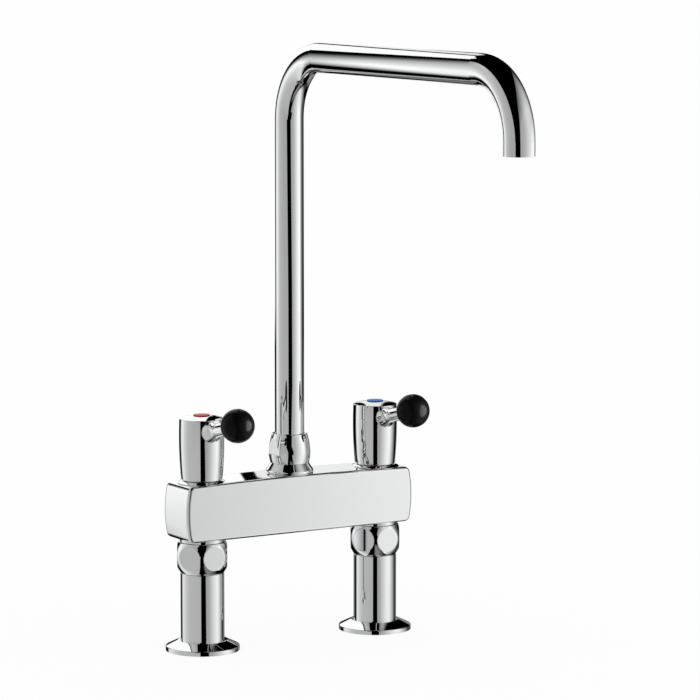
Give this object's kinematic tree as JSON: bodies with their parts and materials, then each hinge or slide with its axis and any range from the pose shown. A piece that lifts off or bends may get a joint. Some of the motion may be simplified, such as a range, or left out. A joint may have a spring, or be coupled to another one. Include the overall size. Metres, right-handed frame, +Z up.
{
  "type": "deck-mounted bridge mixer tap",
  "caption": "Deck-mounted bridge mixer tap: a bar body on columns carries quarter-turn lever handles with ball knobs and a high swivelling swan-neck tube spout.",
  "frame": {"origin": "on the deck plane, midway between the axes of the hot and the cold leg", "axes": "+Z up; +X from the hot leg to the cold leg; -Y towards the user, where the spout and the levers point"},
  "size_m": [0.205, 0.3425, 0.4487],
  "materials": {
    "chrome_plate": "polished",
    "bare_brass": "machined",
    "seal_rubber": "matte",
    "white_ceramic": "polished",
    "plain_steel": "satin",
    "knob_black": "gloss",
    "slip_plastic": "matte",
    "insert_plastic": "matte",
    "red_cap": "gloss",
    "blue_cap": "gloss"
  },
  "bodies": {
    "tap_body": {"bridge_body": "chrome_plate", "spout_socket": "chrome_plate", "spout_socket_gasket": "seal_rubber", "spout_nut": "chrome_plate", "lower_slip_washer": "slip_plastic", "upper_slip_washer": "slip_plastic", "hot_column": "chrome_plate", "hot_deck_flange": "chrome_plate", "hot_deck_gasket": "seal_rubber", "hot_union_tailpiece": "bare_brass", "hot_union_nut": "chrome_plate", "hot_union_washer": "seal_rubber", "hot_headwork_body": "bare_brass", "hot_headwork_gasket": "seal_rubber", "hot_seat_seal": "seal_rubber", "hot_fixed_disc": "white_ceramic", "hot_handle_collar": "chrome_plate", "cold_column": "chrome_plate", "cold_deck_flange": "chrome_plate", "cold_deck_gasket": "seal_rubber", "cold_union_tailpiece": "bare_brass", "cold_union_nut": "chrome_plate", "cold_union_washer": "seal_rubber", "cold_headwork_body": "bare_brass", "cold_headwork_gasket": "seal_rubber", "cold_seat_seal": "seal_rubber", "cold_fixed_disc": "white_ceramic", "cold_handle_collar": "chrome_plate"},
    "spout": {"spout_tube": "chrome_plate", "swivel_bush": "bare_brass", "swivel_o_rings": "seal_rubber", "flow_straightener": "insert_plastic"},
    "hot_valve": {"hot_handle": "chrome_plate", "hot_lever_stem": "chrome_plate", "hot_ball_knob": "knob_black", "hot_index_cap": "red_cap", "hot_handle_screw": "plain_steel", "hot_spindle": "bare_brass", "hot_moving_disc": "white_ceramic", "hot_spindle_o_ring": "seal_rubber", "hot_spindle_clip": "plain_steel"},
    "cold_valve": {"cold_handle": "chrome_plate", "cold_lever_stem": "chrome_plate", "cold_ball_knob": "knob_black", "cold_index_cap": "blue_cap", "cold_handle_screw": "plain_steel", "cold_spindle": "bare_brass", "cold_moving_disc": "white_ceramic", "cold_spindle_o_ring": "seal_rubber", "cold_spindle_clip": "plain_steel"}
  },
  "joints": [
    {"name": "spout_swivel", "type": "hinge", "parent": "tap_body", "child": "spout", "pos_m": [0, 0, 0.15], "axis": [0, 0, 1], "continuous": true},
    {"name": "hot_handle_turn", "type": "hinge", "parent": "tap_body", "child": "hot_valve", "pos_m": [-0.075, 0, 0.13], "axis": [0, 0, 1], "range_deg": [-90, 0]},
    {"name": "cold_handle_turn", "type": "hinge", "parent": "tap_body", "child": "cold_valve", "pos_m": [0.075, 0, 0.13], "axis": [0, 0, 1], "range_deg": [0, 90]}
  ]
}
